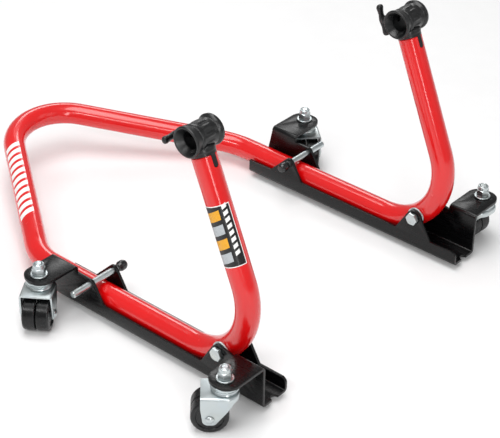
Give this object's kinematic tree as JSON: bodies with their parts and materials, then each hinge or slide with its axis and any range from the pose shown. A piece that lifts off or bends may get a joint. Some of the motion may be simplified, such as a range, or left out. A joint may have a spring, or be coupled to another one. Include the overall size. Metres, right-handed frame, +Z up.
{
  "type": "paddock stand",
  "caption": "Rear paddock stand: bent tube frame with uprights, open-bore lifting heads and a V handle, tilting in two sheet channels on swivel castors.",
  "frame": {"origin": "centre of the footprint's bounding box, on the floor, with the frame lowered and the castors as in the picture", "axes": "+X towards the apex of the V handle, +Y to the left side, +Z up; the two channels run along X"},
  "size_m": [0.7002, 0.6476, 0.3743],
  "materials": {
    "red_paint": "gloss powder coat",
    "black_paint": "semi-gloss powder coat",
    "zinc_steel": "bright zinc plating",
    "head_plastic": "satin moulded nylon",
    "knob_plastic": "smooth moulded knob",
    "wheel_plastic": "satin nylon tread"
  },
  "bodies": {
    "base": {"channel_left": "black_paint", "channel_right": "black_paint", "pivot_bolt_left": "zinc_steel", "pivot_bolt_right": "zinc_steel", "pivot_nut_left": "zinc_steel", "pivot_nut_right": "zinc_steel", "pivot_disc_left_outer": "zinc_steel", "pivot_disc_left_inner": "zinc_steel", "pivot_disc_right_outer": "zinc_steel", "pivot_disc_right_inner": "zinc_steel", "castor_front_left_kingpin": "zinc_steel", "castor_front_left_nut": "zinc_steel", "castor_front_left_washer": "zinc_steel", "castor_front_left_raceway": "zinc_steel", "castor_rear_left_kingpin": "zinc_steel", "castor_rear_left_nut": "zinc_steel", "castor_rear_left_washer": "zinc_steel", "castor_rear_left_raceway": "zinc_steel", "castor_front_right_kingpin": "zinc_steel", "castor_front_right_nut": "zinc_steel", "castor_front_right_washer": "zinc_steel", "castor_front_right_raceway": "zinc_steel", "castor_rear_right_kingpin": "zinc_steel", "castor_rear_right_nut": "zinc_steel", "castor_rear_right_washer": "zinc_steel", "castor_rear_right_raceway": "zinc_steel"},
    "lift_frame": {"lift_frame_tube": "red_paint"},
    "lock_pin_left": {"lock_pin_left": "zinc_steel", "lock_knob_left": "knob_plastic"},
    "lock_pin_right": {"lock_pin_right": "zinc_steel", "lock_knob_right": "knob_plastic"},
    "head_left": {"head_left": "head_plastic"},
    "head_right": {"head_right": "head_plastic"},
    "wing_left": {"wing_screw_left": "head_plastic"},
    "wing_right": {"wing_screw_right": "head_plastic"},
    "castor_front_left": {"castor_front_left_fork": "zinc_steel", "castor_front_left_axle": "zinc_steel"},
    "castor_front_left_wheel_a": {"castor_front_left_wheel_a": "wheel_plastic"},
    "castor_front_left_wheel_b": {"castor_front_left_wheel_b": "wheel_plastic"},
    "castor_rear_left": {"castor_rear_left_fork": "zinc_steel", "castor_rear_left_axle": "zinc_steel"},
    "castor_rear_left_wheel_a": {"castor_rear_left_wheel_a": "wheel_plastic"},
    "castor_rear_left_wheel_b": {"castor_rear_left_wheel_b": "wheel_plastic"},
    "castor_front_right": {"castor_front_right_fork": "zinc_steel", "castor_front_right_axle": "zinc_steel"},
    "castor_front_right_wheel_a": {"castor_front_right_wheel_a": "wheel_plastic"},
    "castor_front_right_wheel_b": {"castor_front_right_wheel_b": "wheel_plastic"},
    "castor_rear_right": {"castor_rear_right_fork": "zinc_steel", "castor_rear_right_axle": "zinc_steel"},
    "castor_rear_right_wheel_a": {"castor_rear_right_wheel_a": "wheel_plastic"},
    "castor_rear_right_wheel_b": {"castor_rear_right_wheel_b": "wheel_plastic"}
  },
  "joints": [
    {"name": "lift", "type": "hinge", "parent": "base", "child": "lift_frame", "pos_m": [-0.27312, -0.00898, 0.0591], "axis": [0, -1, 0], "range_deg": [0, 85]},
    {"name": "lock_pin_left_draw", "type": "slide", "parent": "base", "child": "lock_pin_left", "axis": [0, -1, 0], "range_m": [0, 0.1]},
    {"name": "lock_pin_right_draw", "type": "slide", "parent": "base", "child": "lock_pin_right", "axis": [0, 1, 0], "range_m": [0, 0.1]},
    {"name": "head_left_lift_off", "type": "slide", "parent": "lift_frame", "child": "head_left", "axis": [0.3827, 0, 0.9239], "range_m": [0, 0.08]},
    {"name": "wing_screw_left_turn", "type": "hinge", "parent": "head_left", "child": "wing_left", "pos_m": [-0.21583, 0.20632, 0.35563], "axis": [0.9239, 0, -0.3827], "continuous": true},
    {"name": "head_right_lift_off", "type": "slide", "parent": "lift_frame", "child": "head_right", "axis": [0.3827, 0, 0.9239], "range_m": [0, 0.08]},
    {"name": "wing_screw_right_turn", "type": "hinge", "parent": "head_right", "child": "wing_right", "pos_m": [-0.21583, -0.22428, 0.35563], "axis": [0.9239, 0, -0.3827], "continuous": true},
    {"name": "castor_front_left_swivel", "type": "hinge", "parent": "base", "child": "castor_front_left", "pos_m": [0.01238, 0.27862, 0.06], "axis": [0, 0, 1], "continuous": true},
    {"name": "castor_front_left_wheel_a_spin", "type": "hinge", "parent": "castor_front_left", "child": "castor_front_left_wheel_a", "pos_m": [0.00148, 0.29418, 0.025], "axis": [-0.8192, -0.5736, 0], "continuous": true},
    {"name": "castor_front_left_wheel_b_spin", "type": "hinge", "parent": "castor_front_left", "child": "castor_front_left_wheel_b", "pos_m": [0.00148, 0.29418, 0.025], "axis": [-0.8192, -0.5736, 0], "continuous": true},
    {"name": "castor_rear_left_swivel", "type": "hinge", "parent": "base", "child": "castor_rear_left", "pos_m": [-0.32712, 0.27862, 0.06], "axis": [0, 0, 1], "continuous": true},
    {"name": "castor_rear_left_wheel_a_spin", "type": "hinge", "parent": "castor_rear_left", "child": "castor_rear_left_wheel_a", "pos_m": [-0.31278, 0.29108, 0.025], "axis": [-0.6561, 0.7547, 0], "continuous": true},
    {"name": "castor_rear_left_wheel_b_spin", "type": "hinge", "parent": "castor_rear_left", "child": "castor_rear_left_wheel_b", "pos_m": [-0.31278, 0.29108, 0.025], "axis": [-0.6561, 0.7547, 0], "continuous": true},
    {"name": "castor_front_right_swivel", "type": "hinge", "parent": "base", "child": "castor_front_right", "pos_m": [0.01238, -0.29658, 0.06], "axis": [0, 0, 1], "continuous": true},
    {"name": "castor_front_right_wheel_a_spin", "type": "hinge", "parent": "castor_front_right", "child": "castor_front_right_wheel_a", "pos_m": [-0.00174, -0.28387, 0.025], "axis": [-0.6691, -0.7431, 0], "continuous": true},
    {"name": "castor_front_right_wheel_b_spin", "type": "hinge", "parent": "castor_front_right", "child": "castor_front_right_wheel_b", "pos_m": [-0.00174, -0.28387, 0.025], "axis": [-0.6691, -0.7431, 0], "continuous": true},
    {"name": "castor_rear_right_swivel", "type": "hinge", "parent": "base", "child": "castor_rear_right", "pos_m": [-0.32712, -0.29658, 0.06], "axis": [0, 0, 1], "continuous": true},
    {"name": "castor_rear_right_wheel_a_spin", "type": "hinge", "parent": "castor_rear_right", "child": "castor_rear_right_wheel_a", "pos_m": [-0.30815, -0.29757, 0.025], "axis": [0.0523, 0.9986, 0], "continuous": true},
    {"name": "castor_rear_right_wheel_b_spin", "type": "hinge", "parent": "castor_rear_right", "child": "castor_rear_right_wheel_b", "pos_m": [-0.30815, -0.29757, 0.025], "axis": [0.0523, 0.9986, 0], "continuous": true}
  ]
}
